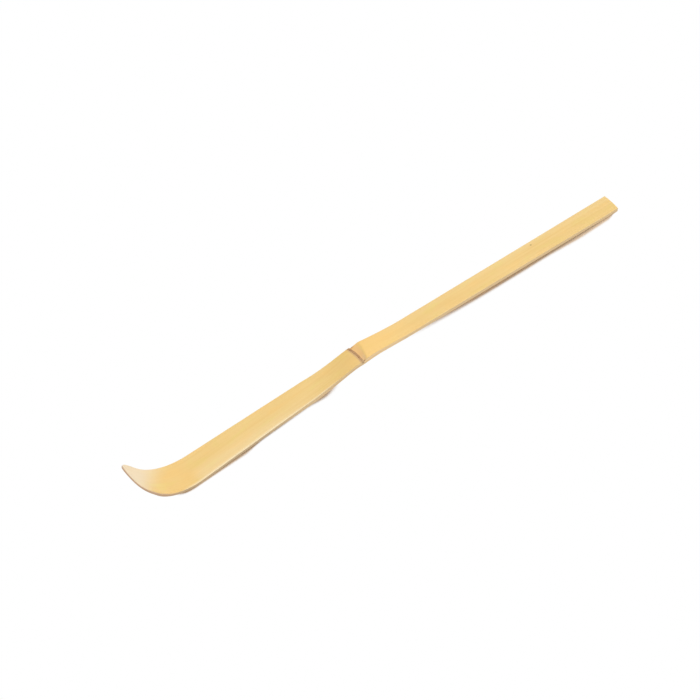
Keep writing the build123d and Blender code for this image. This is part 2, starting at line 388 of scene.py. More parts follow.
class Strip:
    """Places and sizes along the strip, measured from the butt over the upper face."""

    def __init__(self, settings):
        self.strip = settings.strip
        self.handle = settings.handle
        self.node = settings.node
        self.scoop = settings.scoop
        self.butt_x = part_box("handle_wood")[1].x
        self.tip_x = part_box("scoop_wood")[0].x
        self.place_node()
        self.place_scoop()
        self.place_arches()

    def place_node(self):
        node = self.node
        scar_x = self.tip_x + node.scar
        self.lip = self.butt_x - scar_x
        self.scar_end = self.lip - node.scar_width
        self.top = self.lip - node.scar_width / 2
        self.crest = self.lip - node.ring
        self.ring_foot = self.lip - node.foot
        self.neck = self.lip - self.handle.neck
        self.waist = self.lip + node.waist

    def place_scoop(self):
        scoop = self.scoop
        turned = scoop.fall + scoop.tip_angle
        rest = between(scoop.belly_thickness, scoop.bend_thickness, scoop.fall / turned)
        tip_top_x = self.tip_x + scoop.tip_thickness * math.sin(scoop.tip_angle)
        self.centre_x = (
            tip_top_x
            + scoop.bend_radius * math.sin(scoop.tip_angle)
            + scoop.tip_run * math.cos(scoop.tip_angle)
        )
        self.centre_z = scoop.bend_radius + rest
        self.bend = self.butt_x - self.centre_x - scoop.bend_radius * math.sin(scoop.fall)
        self.bend_z = self.centre_z - scoop.bend_radius * math.cos(scoop.fall)
        self.foot = self.bend - scoop.run * math.cos(scoop.fall)
        self.foot_z = self.bend_z + scoop.run * math.sin(scoop.fall)
        self.bend_run = scoop.bend_radius * turned
        self.tip = self.bend + self.bend_run
        self.tip_straight = scoop.tip_run - scoop.tip_round
        self.end = self.tip + scoop.tip_run

    def place_arches(self):
        node = self.node
        climb = math.tan(self.handle.rise)
        self.butt_z = self.handle.thickness * math.cos(self.handle.rise)
        self.rising = Arch(
            [
                (self.neck, self.butt_z + self.neck * climb),
                (self.ring_foot, node.foot_height),
                (self.top, node.height + node.ring_swell),
            ],
            climb,
            0.0,
        )
        self.falling = Arch(
            [(self.top, node.height), (self.waist, node.waist_height), (self.foot, self.foot_z)],
            0.0,
            -math.tan(self.scoop.fall),
        )

    def rise_line(self, along):
        """Upper line of the handle and of the rise to the ring: x, z and slope angle."""
        height, slope = self.rising.at(along)
        return self.butt_x - along, height, math.atan(slope)

    def fall_line(self, along):
        """Upper line from the lip down the trough and up the bend to the tip."""
        if along <= self.bend:
            height, slope = self.falling.at(along)
            return self.butt_x - along, height, math.atan(slope)
        radius = self.scoop.bend_radius
        turn = min((along - self.bend) / radius - self.scoop.fall, self.scoop.tip_angle)
        past = max(along - self.tip, 0.0)
        x = self.centre_x - radius * math.sin(turn) - past * math.cos(turn)
        z = self.centre_z - radius * math.cos(turn) + past * math.sin(turn)
        return x, z, turn

    def station(self, line, along, width, thickness, crown, skin, swell=0.0):
        """A cross-section with the strip's roundings; a swell adds to its skin alone."""
        return Station(
            line=line,
            along=along,
            half=width / 2,
            depth=thickness + swell,
            crown=crown,
            skin=skin + swell,
            bevel=self.strip.edge_bevel * thickness,
            under=self.strip.back_bevel * thickness,
        )

    def rise_station(self, along):
        """Cross-section of the handle or of the rise to the ring."""
        handle, node = self.handle, self.node
        if along <= self.neck:
            width = between(handle.butt_width, handle.neck_width, along / self.neck)
            sizes = width, handle.thickness, handle.crown, self.strip.skin
            return self.station(self.rise_line, along, *sizes)
        part = (along - self.neck) / (self.top - self.neck)
        return self.station(
            self.rise_line,
            along,
            eased(handle.neck_width, node.width, part**node.ring_flare),
            eased(handle.thickness, node.thickness, part),
            eased(handle.crown, node.crown, part),
            eased(self.strip.skin, node.skin, part),
            eased(0.0, node.ring_swell, part),
        )

    def fall_station(self, along):
        """Cross-section of the node's far side, the trough, the bend or the tip's straight part."""
        node, scoop = self.node, self.scoop
        if along <= self.foot:
            part = max((along - self.top) / (self.foot - self.top), 0.0)
            pull = 2 * node.waist_width - (node.width + scoop.foot_width) / 2
            width = between(
                between(node.width, pull, part), between(pull, scoop.foot_width, part), part
            )
            return self.station(
                self.fall_line,
                along,
                width,
                eased(node.thickness, scoop.thickness, part),
                eased(node.crown, -scoop.trough, part),
                eased(node.skin, self.strip.skin, part),
            )
        if along <= self.bend:
            part = (along - self.foot) / (self.bend - self.foot)
            width = between(scoop.foot_width, scoop.belly_width, part)
            thickness = between(scoop.thickness, scoop.belly_thickness, part)
            rounder = 4 * part * (1 - part) * scoop.back_round * thickness
        else:
            part = (along - self.bend) / (self.bend_run + self.tip_straight)
            width = between(scoop.belly_width, scoop.tip_width, part)
            thickness = self.bend_thickness(along)
            rounder = 0.0
        sizes = width, thickness, -scoop.trough, self.strip.skin
        place = self.station(self.fall_line, along, *sizes)
        place.under += rounder
        return place

    def bend_thickness(self, along):
        """Thickness past the start of the bend."""
        scoop = self.scoop
        if along <= self.tip:
            part = (along - self.bend) / self.bend_run
            return between(scoop.belly_thickness, scoop.bend_thickness, part)
        part = (along - self.tip) / scoop.tip_run
        return between(scoop.bend_thickness, scoop.tip_thickness, part)

    def tip_station(self, turn):
        """Cross-section of the rounded end, which narrows to nothing over a quarter turn."""
        scoop = self.scoop
        power = 2 / scoop.squareness
        forward = math.sin(turn) ** power
        side = max(math.cos(turn), 0.0) ** power if turn < math.pi / 2 else 0.0
        start = self.tip + self.tip_straight
        place = self.station(
            self.fall_line,
            start,
            scoop.tip_width,
            self.bend_thickness(start + scoop.tip_round * forward),
            -scoop.trough * side**2,
            self.strip.skin,
        )
        place.side = side
        place.forward = forward
        place.reach = scoop.tip_round
        return place

    def lean(self, along, across):
        """How far the ring's and the scar's bow and slant shift a point along the strip."""
        node = self.node
        fade = self.handle.neck / 2
        marks = [
            (self.crest - fade, 0.0, 0.0),
            (self.crest, math.tan(node.ring_skew), node.ring_bow),
            (self.scar_end, math.tan(node.scar_skew), node.scar_bow),
            (self.lip, math.tan(node.scar_skew), node.scar_bow),
            (self.lip + fade, 0.0, 0.0),
        ]
        if along <= marks[0][0] or along >= marks[-1][0]:
            return 0.0
        for before, after in zip(marks, marks[1:]):
            if along <= after[0]:
                part = (along - before[0]) / (after[0] - before[0])
                slant = eased(before[1], after[1], part)
                bow = eased(before[2], after[2], part)
                return slant * across + bow * (2 * across / node.width) ** 2
        return 0.0


# Cross-sections


# Points of a finely drawn corner and face, and of half a finished path
CORNER_STEPS = 14
FACE_STEPS = 30
HALF_POINTS = 30

# Length of path that a turn of one radian counts for, when points are shared out
TURN_WEIGHT = 0.9 * MM

# Share of the back's width that the septum takes
SEPTUM_SHARE = 0.9


def half_outline(place):
    """Right half of a cross-section, from the middle of the upper face round to the back's.

    Each point has its share of the half width, its inset from the side and its height.
    """
    depth = place.depth - place.drop
    quarter = np.linspace(0, math.pi / 2, CORNER_STEPS, endpoint=False)
    across = np.linspace(0, 1, FACE_STEPS, endpoint=False)
    full = np.ones_like(quarter)
    upper_face = np.column_stack(
        [across, np.full_like(across, place.bevel), place.crown * (1 - across**2)]
    )
    upper_edge = np.column_stack(
        [full, place.bevel * (1 - np.sin(quarter)), -place.bevel * (1 - np.cos(quarter))]
    )
    flank = np.linspace(-place.bevel, place.under - depth, FACE_STEPS, endpoint=False)
    side = np.column_stack([np.ones_like(flank), np.zeros_like(flank), flank])
    lower_edge = np.column_stack(
        [full, place.under * (1 - np.cos(quarter)), place.under * (1 - np.sin(quarter)) - depth]
    )
    across = np.linspace(1, 0, FACE_STEPS)
    back = np.column_stack(
        [across, np.full_like(across, place.under), np.full_like(across, -depth)]
    )
    return np.concatenate([upper_face, upper_edge, side, lower_edge, back])


def seam_height(place, points):
    """Height of the seam between skin and wood below points of a cross-section."""
    across = points[:, 0] * (place.half - points[:, 1])
    flat = place.half - place.bevel
    return place.crown * (1 - (across / flat) ** 2) - (place.skin - place.drop)


def even_points(place, path):
    """The same count of points on any path, closer together round its edges."""
    across = path[:, 0] * (place.half - path[:, 1])
    steps = np.diff(np.column_stack([across, path[:, 2]]), axis=0)
    run = np.hypot(steps[:, 0], steps[:, 1])
    heading = np.unwrap(np.arctan2(steps[:, 1], steps[:, 0]))
    turn = np.abs(np.diff(heading, prepend=heading[0]))
    reached = np.concatenate([[0], np.cumsum(run + TURN_WEIGHT * turn)])
    wanted = np.linspace(0, reached[-1], HALF_POINTS)
    return np.column_stack([np.interp(wanted, reached, path[:, k]) for k in range(3)])


def both_sides(path):
    """A path from the middle to the right, made whole from left to right."""
    left = path[::-1] * (-1, 1, 1)
    return np.concatenate([left, path[1:]])


def layers(place):
    """Upper face, seam and back of a cross-section, each from left to right."""
    outline = half_outline(place)
    above = outline[:, 2] - seam_height(place, outline)
    below = int(np.argmax(above <= 0))
    part = above[below - 1] / (above[below - 1] - above[below])
    meeting = between(outline[below - 1], outline[below], part)
    upper = even_points(place, np.vstack([outline[:below], meeting]))
    lower = even_points(place, np.vstack([meeting, outline[below:]]))[::-1]
    seam = np.column_stack(
        [
            np.linspace(0, meeting[0], HALF_POINTS),
            np.full(HALF_POINTS, meeting[1]),
            np.zeros(HALF_POINTS),
        ]
    )
    seam[:, 2] = seam_height(place, seam)
    seam[-1] = meeting
    return both_sides(upper), both_sides(seam), both_sides(lower)


def skin_layers(place):
    upper, seam, _ = layers(place)
    return upper, seam


def wood_layers(place):
    _, seam, lower = layers(place)
    return seam, lower


def septum_layers(place):
    """Low rounded strip across the back, let into the wood."""
    _, _, lower = layers(place)
    lower = lower * (SEPTUM_SHARE, 1, 1)
    shallow = lower.copy()
    shallow[:, 2] = place.skin - place.depth
    return shallow, lower


# Meshes


# Sizes of the noise that makes cut edges wander and torn fibres fray, and where on it each one lies
WANDER = 11 * MM
RIGHT_EDGE = (3.7, 0.4)
LEFT_EDGE = (-5.1, 0.4)
FRAY_ALONG = 0.12 * MM
FRAY_ACROSS = 0.16 * MM
FRAY_LAYER = 2.3

WELD = 0.0005 * MM
SHARP_ANGLE = math.radians(38)


class Loft:
    """A closed mesh through cross-sections, with the grain's own coordinates on it."""

    def __init__(self, strip, section, places, leaning=False, fray=0.0):
        self.strip = strip
        self.section = section
        self.leaning = leaning
        self.fray = fray
        self.points = []
        self.grain = []
        self.rim = []
        self.edge = []
        self.rings = []
        for place in places:
            self.add(place)

    def uneven(self, along, right):
        """Small inward wander of a hand-cut edge."""
        where = Vector((along / WANDER, *(RIGHT_EDGE if right else LEFT_EDGE)))
        return self.strip.strip.hand_cut * (noise.noise(where) - 1) / 2

    def frayed(self, along, across):
        """Small rise or fall of a torn fibre."""
        where = Vector((along / FRAY_ALONG, across / FRAY_ACROSS, FRAY_LAYER))
        return self.fray * noise.noise(where)

    def outwards(self, side, forward):
        """0 on the middle line and 1 on the rim, also round the tip."""
        power = self.strip.scoop.squareness
        return (abs(side) ** power + forward**power) ** (1 / power)

    def add(self, place):
        """One more cross-section; its upper and lower path share their two ends."""
        upper, lower = self.section(place)
        ring = np.concatenate([upper, lower[-2:0:-1]])
        start = len(self.points)
        for index, (across_part, inset, height) in enumerate(ring):
            along = place.along + (place.reach - inset) * place.forward
            half = place.half - inset + self.uneven(along, across_part > 0)
            across = across_part * half * place.side
            height -= place.drop
            if self.fray and 0 < index < len(upper) - 1:
                height += self.frayed(along, across)
            shift = self.strip.lean(place.along, across) if self.leaning else 0.0
            x, z, turn = place.line(along + shift)
            self.points.append((x + height * math.sin(turn), across, z + height * math.cos(turn)))
            self.grain.append((along / MM, across / MM, height / MM))
            self.rim.append(1 - min(inset / place.bevel, 1.0))
            outwards = self.outwards(across_part * place.side, place.forward)
            self.edge.append((inset + (1 - outwards) * (place.half - inset)) / MM)
        self.rings.append((start, len(upper), len(ring)))

    def faces(self, last_cap):
        """Faces from section to section, and over the ends that are flat."""
        made = []
        for (start, _, count), (following, _, _) in zip(self.rings, self.rings[1:]):
            for k in range(count):
                after = (k + 1) % count
                made.append((start + k, start + after, following + after, following + k))
        made += [face[::-1] for face in self.cap(self.rings[0])]
        if last_cap:
            made += self.cap(self.rings[-1])
        return made

    def cap(self, ring):
        """Flat end of the loft, filled between its upper and its lower path."""
        start, across, count = ring
        upper = [start + k for k in range(across)]
        lower = [upper[0]] + [start + count - k for k in range(1, across - 1)] + [upper[-1]]
        made = [(upper[0], upper[1], lower[1])]
        for k in range(1, across - 2):
            made.append((lower[k], upper[k], upper[k + 1], lower[k + 1]))
        made.append((lower[-2], upper[-2], upper[-1]))
        return made

    def piece(self, node, surface, last_cap=True):
        """Adds the finished piece, in place of its CAD node."""
        mesh = bpy.data.meshes.new(node)
        mesh.from_pydata(self.points, [], self.faces(last_cap))
        grain = mesh.attributes.new(GRAIN, "FLOAT_VECTOR", "POINT")
        grain.data.foreach_set("vector", np.array(self.grain, np.float32).ravel())
        for name, values in ((RIM, self.rim), (EDGE, self.edge)):
            mark = mesh.attributes.new(name, "FLOAT", "POINT")
            mark.data.foreach_set("value", np.array(values, np.float32))
        shell = bmesh.new()
        shell.from_mesh(mesh)
        bmesh.ops.remove_doubles(shell, verts=shell.verts, dist=WELD)
        bmesh.ops.recalc_face_normals(shell, faces=shell.faces)
        for face in shell.faces:
            face.smooth = True
        shell.to_mesh(mesh)
        shell.free()
        mesh.set_sharp_from_angle(angle=SHARP_ANGLE)
        mesh.materials.append(surface)
        made = bpy.data.objects.new(f"{node}_visual", mesh)
        bpy.context.scene.collection.objects.link(made)
        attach(made, "root")
        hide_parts(node)


# Places of the cross-sections

# Distances between them, and their count round an edge and round the tip
LONG_STEP = 1.2 * MM
NODE_STEP = 0.6 * MM
BEND_STEP = 0.5 * MM
CREST_STEP = 0.1 * MM
ROUND_STEPS = 5
TIP_TURNS = 40


def steps(first, last, spacing):
    """Places from first to last, both included, about a spacing apart."""
    return np.linspace(first, last, max(int(round((last - first) / spacing)), 1) + 1)


def rounding(radius):
    """Run and inset over a rounded edge, from its face inwards."""
    for turn in np.linspace(0, math.pi / 2, ROUND_STEPS):
        yield radius * (1 - math.cos(turn)), radius * (1 - math.sin(turn))


def handle_stations(strip):
    """From the rounded edges of the butt to the neck."""
    made = []
    for run, inset in rounding(strip.strip.butt_round):
        place = strip.rise_station(run)
        place.half -= inset
        place.depth -= inset
        place.drop = inset
        made.append(place)
    for along in steps(strip.strip.butt_round, strip.neck, LONG_STEP)[1:]:
        made.append(strip.rise_station(along))
    return made


def ring_stations(strip):
    """From the neck over the crest and down the groove to the scar."""
    node = strip.node
    made = []
    start = strip.crest - node.ring_round
    run = node.groove_run + node.ring_round
    rise = steps(strip.neck, start, NODE_STEP)[:-1]
    groove = steps(start, strip.scar_end, CREST_STEP)
    for along in np.concatenate([rise, groove]):
        place = strip.rise_station(along)
        place.drop = eased(0.0, node.ring_swell + node.groove_depth, (along - start) / run)
        made.append(place)
    return made


def scar_stations(strip):
    """Across the narrow ledge of the scar, rounded on both sides."""
    node = strip.node
    edge = list(rounding(node.lip_round))
    ledge = [(strip.scar_end + run, inset) for run, inset in edge]
    ledge += [(strip.lip - run, inset) for run, inset in reversed(edge)]
    made = []
    for along, inset in ledge:
        place = strip.fall_station(along)
        place.drop = node.scar_recess + inset
        made.append(place)
    return made


def lip_stations(strip):
    """From the lip beside the scar down the node, as far as the last place before its foot."""
    made = []
    for run, inset in rounding(strip.node.lip_round):
        place = strip.fall_station(strip.lip + run)
        place.drop = inset
        made.append(place)
    for along in steps(strip.lip + strip.node.lip_round, strip.foot, BEND_STEP)[1:-1]:
        made.append(strip.fall_station(along))
    return made


def node_stations(strip):
    """The wood under the node, from the neck to the foot."""
    made = [strip.rise_station(along) for along in steps(strip.neck, strip.top, NODE_STEP)[:-1]]
    made += [strip.fall_station(along) for along in steps(strip.top, strip.foot, NODE_STEP)]
    return made


def scoop_stations(strip):
    """From the foot of the node along the trough, up the bend and round the tip."""
    trough = steps(strip.foot, strip.bend, LONG_STEP)[:-1]
    bend = steps(strip.bend, strip.tip, BEND_STEP)[:-1]
    tip = steps(strip.tip, strip.tip + strip.tip_straight, BEND_STEP)[:-1]
    made = [strip.fall_station(along) for along in np.concatenate([trough, bend, tip])]
    for turn in np.linspace(0, math.pi / 2, TIP_TURNS):
        made.append(strip.tip_station(turn))
    return made


def septum_stations(strip):
    """Across the septum's root, which swells out of the back and sinks into it on both sides."""
    node = strip.node
    middle = strip.lip - node.septum
    made = []
    for turn in np.linspace(-math.pi / 2, math.pi / 2, 2 * ROUND_STEPS + 1):
        place = strip.rise_station(middle + node.septum_width / 2 * math.sin(turn))
        place.depth += node.septum_swell * math.cos(turn)
        place.skin = node.septum_depth
        made.append(place)
    return made


# Paint


class Wire:
    """An output of the paint's nodes, for use in plain expressions."""

    def __init__(self, paint, socket):
        self.paint = paint
        self.socket = socket

    def __add__(self, other):
        return self.paint.math("ADD", self, other)

    def __radd__(self, other):
        return self.paint.math("ADD", other, self)

    def __sub__(self, other):
        return self.paint.math("SUBTRACT", self, other)

    def __rsub__(self, other):
        return self.paint.math("SUBTRACT", other, self)

    def __mul__(self, other):
        return self.paint.math("MULTIPLY", self, other)

    def __rmul__(self, other):
        return self.paint.math("MULTIPLY", other, self)

    def __pow__(self, other):
        return self.paint.math("POWER", self, other)

    def __rpow__(self, other):
        return self.paint.math("POWER", other, self)

    def ramp(self, low, high):
        """0 below low, 1 above high, eased between; falling where low is the greater."""
        values = {"Value": self, "From Min": low, "From Max": high}
        return self.paint.node("ShaderNodeMapRange", {"interpolation_type": "SMOOTHSTEP"}, values)[0]

    def band(self, low, high, fade):
        """1 from low to high, fading out on both sides."""
        return self.ramp(low - fade, low) * self.ramp(high + fade, high)


class Paint:
    """The nodes of a material or of the room, under construction."""

    def __init__(self, owner):
        owner.use_nodes = True
        self.owner = owner
        self.tree = owner.node_tree
        self.tree.nodes.clear()

    def node(self, kind, settings=None, inputs=None):
        """Adds a node: its settings first, then its values and links. Gives its outputs."""
        made = self.tree.nodes.new(kind)
        for key, value in (settings or {}).items():
            setattr(made, key, value)
        for key, value in (inputs or {}).items():
            socket = made.inputs[key]
            if isinstance(value, Wire):
                self.tree.links.new(value.socket, socket)
            elif socket.type == "RGBA":
                socket.default_value = (*value, 1.0)
            else:
                socket.default_value = value
        return [Wire(self, output) for output in made.outputs]

    def math(self, operation, first, second):
        return self.node("ShaderNodeMath", {"operation": operation}, {0: first, 1: second})[0]

    def mix(self, first, second, factor):
        """From the first colour to the second; a Mix node keeps its colours at sockets 6 and 7."""
        settings = {"data_type": "RGBA", "clamp_factor": True}
        return self.node("ShaderNodeMix", settings, {0: factor, 6: first, 7: second})[2]

    def mix_shader(self, first, second, factor):
        return self.node("ShaderNodeMixShader", None, {0: factor, 1: first, 2: second})[0]


class BambooPaint(Paint):
    """A bamboo material: where a point lies on the strip, and the tone painted on it so far."""

    def __init__(self, name, strip, settings, tone):
        super().__init__(bpy.data.materials.new(name))
        self.colours = settings.colours
        self.finish = settings.finish
        self.tone = tone
        self.crest = strip.crest / MM
        self.scar_end = strip.scar_end / MM
        self.lip = strip.lip / MM
        self.bend = strip.bend / MM
        self.grain = self.node("ShaderNodeAttribute", {"attribute_name": GRAIN})[1]
        self.along, self.across, _ = self.node("ShaderNodeSeparateXYZ", None, {0: self.grain})

    def rim(self):
        """0 on a face, 1 on the side, between them on the rounded edge."""
        return self.node("ShaderNodeAttribute", {"attribute_name": RIM})[2]

    def edge(self):
        """Distance from the side, over the face, in millimetres."""
        return self.node("ShaderNodeAttribute", {"attribute_name": EDGE})[2]

    def past(self, mark, stretch):
        """0 where a stretch of the strip starts and 1 where it stops, as measured from a mark."""
        start, stop = stretch
        return self.along.ramp(mark + start, mark + stop)

    def scaled(self, scales):
        """The grain's coordinates, each times its own scale."""
        return self.node("ShaderNodeVectorMath", {"operation": "MULTIPLY"}, {0: self.grain, 1: scales})[0]

    def noise(self, scales, detail):
        values = {"Vector": self.scaled(scales), "Scale": 1.0, "Detail": detail}
        return self.node("ShaderNodeTexNoise", None, values)[0]

    def cells(self, scales):
        """Distance from the nearest of many scattered points."""
        values = {"Vector": self.scaled(scales), "Scale": 1.0}
        return self.node("ShaderNodeTexVoronoi", {"feature": "F1"}, values)[0]

    def tint(self, colour, amount):
        """Lays a colour over the tone."""
        self.tone = self.mix(self.tone, colour, amount)

    def relief(self, height, distance, strength):
        values = {"Height": height, "Distance": distance, "Strength": strength}
        return self.node("ShaderNodeBump", None, values)[0]

    def done(self, roughness, normal, constants):
        """The material, with its tone, its roughness, its relief and its constant sockets."""
        values = {"Base Color": self.tone, "Roughness": roughness, "Normal": normal, **constants}
        surface = self.node("ShaderNodeBsdfPrincipled", None, values)[0]
        self.node("ShaderNodeOutputMaterial", None, {"Surface": surface})
        return self.owner


# Marks in the bamboo: how many lie in a millimetre along, across and through the strip
SKIN_FIBRES = (0.05, 5.5, 5.5)
SKIN_STRANDS = (0.018, 1.3, 1.3)
SKIN_CLOUDS = (0.055, 0.22, 0.22)
SKIN_PATCHES = (0.12, 0.35, 0.35)
SKIN_FLECKS = (0.9, 7.0, 7.0)
# Patches of pale edge, partly worn and partly a painted highlight
EDGE_WEAR_AND_HIGHLIGHT = (0.1, 0.0, 0.0)
WOOD_BUNDLES = (0.012, 2.4, 3.2)
WOOD_FIBRES = (0.06, 6.0, 6.0)
WOOD_CLOUDS = (0.05, 0.3, 0.3)
WOOD_PORES = (0.5, 5.0, 6.0)
SCAR_FIBRES = (4.0, 5.0, 5.0)
SCAR_CLOUDS = (0.8, 0.7, 0.7)

# Fineness of their noise
PLAIN = 1.0
SOFT = 2.0
FINE = 3.0
RAGGED = 4.0

# Noise, or distance from a scattered point, at which a mark starts to show and is full
FIBRE_SHOWS = (0.4, 0.7)
STRAND_SHOWS = (0.45, 0.7)
CLOUD_SHOWS = (0.4, 0.7)
FRESH_SHOWS = (0.5, 0.68)
WARM_SHOWS = (0.48, 0.32)
FLECK_SHOWS = (0.66, 0.76)
# For the pale edges, which are partly worn and partly a painted highlight
WEAR_AND_HIGHLIGHT_SHOWS = (0.3, 0.6)
BUNDLE_SHOWS = (0.34, 0.1)
BUNDLE_SINKS = (0.3, 0.1)
WOOD_FIBRE_SHOWS = (0.45, 0.75)
PORE_SHOWS = (0.12, 0.04)
TORN_SHOWS = (0.38, 0.68)

# Shares of the marks in the relief, and how the wood's bundles vary from cloud to cloud
FIBRE_RELIEF = 0.7
STRAND_RELIEF = 0.3
WOOD_FIBRE_RELIEF = 0.5
BUNDLE_RELIEF = 0.4
CLOUD_LEAST = 0.5
CLOUD_RANGE = 0.8

# Stretches over which a tone comes in, in millimetres from the crest of the ring
WARM_RISE = (-22, -2)
WARM_CREST = (0.6, -0.2)
# Painted light on the far half of the handle
LIT_FAR_HANDLE = (0, -20)

# The same from the lip beside the scar
GROOVE_STOP = (0.1, -0.1)
# Painted shade beside the lip
LIP_START = (-0.1, 0)
LIP_FADE = (12, 0)
# Painted light on the near half of the trough comes in over this stretch
TROUGH_LIGHT = (6, 34)
# The pale edges and their painted highlight grow to full over this stretch
TROUGH_WEAR_AND_HIGHLIGHT = (0, 20)
# Painted shade on the sides of the scoop comes in over this stretch
SHADED_SIDES = (14, 40)

# The same from the start of the bend
# Pale tip, partly a painted sheen
TIP_PALE_AND_SHEEN = (11, 24)
# Painted light on the near half and the near rim of the trough ends here
LIT_TROUGH_STOP = (4, -1)
LIT_NEAR_RIM_STOP = (9, 3)
# Painted shade along the rim of the tip, on its sides and on its face
RIM_SHADE = (6, 16)
FACE_RIM_SHADE = (10, 18)

# The same across the strip, from its middle line towards the far side
# Painted light at the near end of the groove
LIT_GROOVE_END = (-0.5, -2.5)
# Painted light on the far half of the handle
LIT_FAR_HALF = (0.6, 2.4)
# Painted light on the near half of the trough
LIT_NEAR_HALF = (1.2, -3.0)
# Painted shade on the face along the rim of the tip, kept off the far rim
FACE_RIM_SHADE_HALF = (4.5, 2.5)
SCAR_NEAR = (-1.6, -3.2)

# The same over the face, inwards from the side
# Painted highlight along the near rim of the trough
LIT_NEAR_RIM = (1.0, 0.1)
# Painted shade on the face along the rim of the tip
FACE_RIM_SHADE_EDGE = (0.75, 0.2)

# Parts of the rounded edge, from 0 on the face to 1 on the side
# Pale edge, partly worn and partly a painted highlight
WORN_AND_HIGHLIT_EDGE = (0.0, 0.4)
SKIN_SIDE = (0.9, 1.0)
WOOD_SIDE = (0.5, 0.9)
# Painted shade on the rounded edge of the tip's rim
RIM_SHADE_EDGE = (0.1, 0.7)

# Tone of the groove, which starts past the crest and ends at the lip, in millimetres
GROOVE_START = 0.9
GROOVE_FADE = 0.8

# Darker margin beside the scar, which ends past the lip
SCAR_MARGIN = 0.3
SCAR_MARGIN_FADE = 0.4

# Shade in the bend, from its start
BEND_SHADE_START = 4
BEND_SHADE_STOP = 10
BEND_SHADE_FADE = 5

# Warm sides before the crest
RING_SIDE_START = 11
RING_SIDE_STOP = 1
RING_SIDE_FADE = 4

# Edges with less of the pale edge and its painted highlight, from before the crest to past the lip
PLAIN_NODE_EDGE_START = 8
PLAIN_NODE_EDGE_STOP = 4
PLAIN_NODE_EDGE_FADE = 12

# Slant of the pale tip and its painted sheen across the strip
TIP_SLANT = 1.35

# The dark speck on the handle: its place, where it starts to show and is full, in millimetres,
# and how much longer than wide it is
SPECK_FROM_BUTT = 31.0
SPECK_ACROSS = 1.6
SPECK_SIZE = (0.32, 0.12)
SPECK_STRETCH = 1.25


def grow_skin(paint, fibres, strands):
    """Long fibres and soft clouds all over the skin, and patches that kept a trace of green."""
    colours, finish = paint.colours, paint.finish
    patches = paint.noise(SKIN_PATCHES, PLAIN)
    clouds = paint.noise(SKIN_CLOUDS, SOFT).ramp(*CLOUD_SHOWS)
    deep = fibres.ramp(*FIBRE_SHOWS) * finish.fibres + strands.ramp(*STRAND_SHOWS) * finish.strands
    paint.tint(colours.skin_fresh, patches.ramp(*FRESH_SHOWS) * finish.fresh)
    paint.tint(colours.skin_warm, patches.ramp(*WARM_SHOWS) * finish.warm)
    paint.tint(colours.skin_deep, deep + clouds * finish.clouds)


def tone_node(paint, groove):
    """The warm rise to the ring, the groove behind it with painted light at its near end, a darker margin
    beside the scar, and painted shade beside the lip.
    """
    colours, finish = paint.colours, paint.finish
    warm = paint.past(paint.crest, WARM_RISE) * paint.past(paint.crest, WARM_CREST)
    paint.tint(colours.skin_warm, warm * finish.ring)
    paint.tint(colours.groove, groove * finish.groove)
    # Painted light at the near end of the groove
    paint.tint(colours.skin_edge_and_highlight, groove * paint.across.ramp(*LIT_GROOVE_END) * finish.lit_groove_end)
    # Painted shade beside the lip
    lip = paint.past(paint.lip, LIP_START) * paint.past(paint.lip, LIP_FADE)
    paint.tint(colours.skin_deep, lip * finish.lip)
    # Darker margin beside the scar, in the scar's colour
    scar_margin = paint.along.band(paint.scar_end, paint.lip + SCAR_MARGIN, SCAR_MARGIN_FADE)
    paint.tint(colours.scar, scar_margin * finish.scar_margin)


def tone_faces(paint, edge):
    """The painted shade in the bend, the pale tip with its painted sheen, and painted light on the far half
    of the handle and on the near half and near rim of the trough.
    """
    colours, finish = paint.colours, paint.finish
    bend = paint.bend
    shade = paint.along.band(bend + BEND_SHADE_START, bend + BEND_SHADE_STOP, BEND_SHADE_FADE)
    paint.tint(colours.skin_deep, shade * finish.bend)
    # Pale tip: partly paler worn skin, partly a painted sheen
    pale_start, pale_stop = TIP_PALE_AND_SHEEN
    pale = (paint.along + paint.across * TIP_SLANT).ramp(bend + pale_start, bend + pale_stop)
    paint.tint(colours.skin_pale_and_sheen, pale * finish.tip)
    # Painted light on the far half of the handle
    lit_far_half = paint.past(paint.crest, LIT_FAR_HANDLE) * paint.across.ramp(*LIT_FAR_HALF)
    paint.tint(colours.skin_edge_and_highlight, lit_far_half * finish.lit_far_half)
    # Painted light on the near half and the near rim of the trough
    lit_near_half = paint.past(paint.lip, TROUGH_LIGHT) * paint.across.ramp(*LIT_NEAR_HALF)
    lit_near_rim = paint.past(bend, LIT_NEAR_RIM_STOP) * edge.ramp(*LIT_NEAR_RIM)
    lighter = paint.past(bend, LIT_TROUGH_STOP) * finish.lit_near_half + lit_near_rim * finish.lit_near_rim
    paint.tint(colours.skin_edge_and_highlight, lit_near_half * lighter)


def tone_sides(paint, side, ring, dull):
    """Sides that are warm beside the ring, and darker along the scoop with painted shade."""
    crest = paint.crest
    beside_ring = paint.along.band(crest - RING_SIDE_START, crest - RING_SIDE_STOP, RING_SIDE_FADE)
    paint.tint(paint.colours.ring_side, side * beside_ring * ring)
    # Painted shade along the sides of the scoop
    paint.tint(paint.colours.shaded_wood, side * paint.past(paint.lip, SHADED_SIDES) * dull)


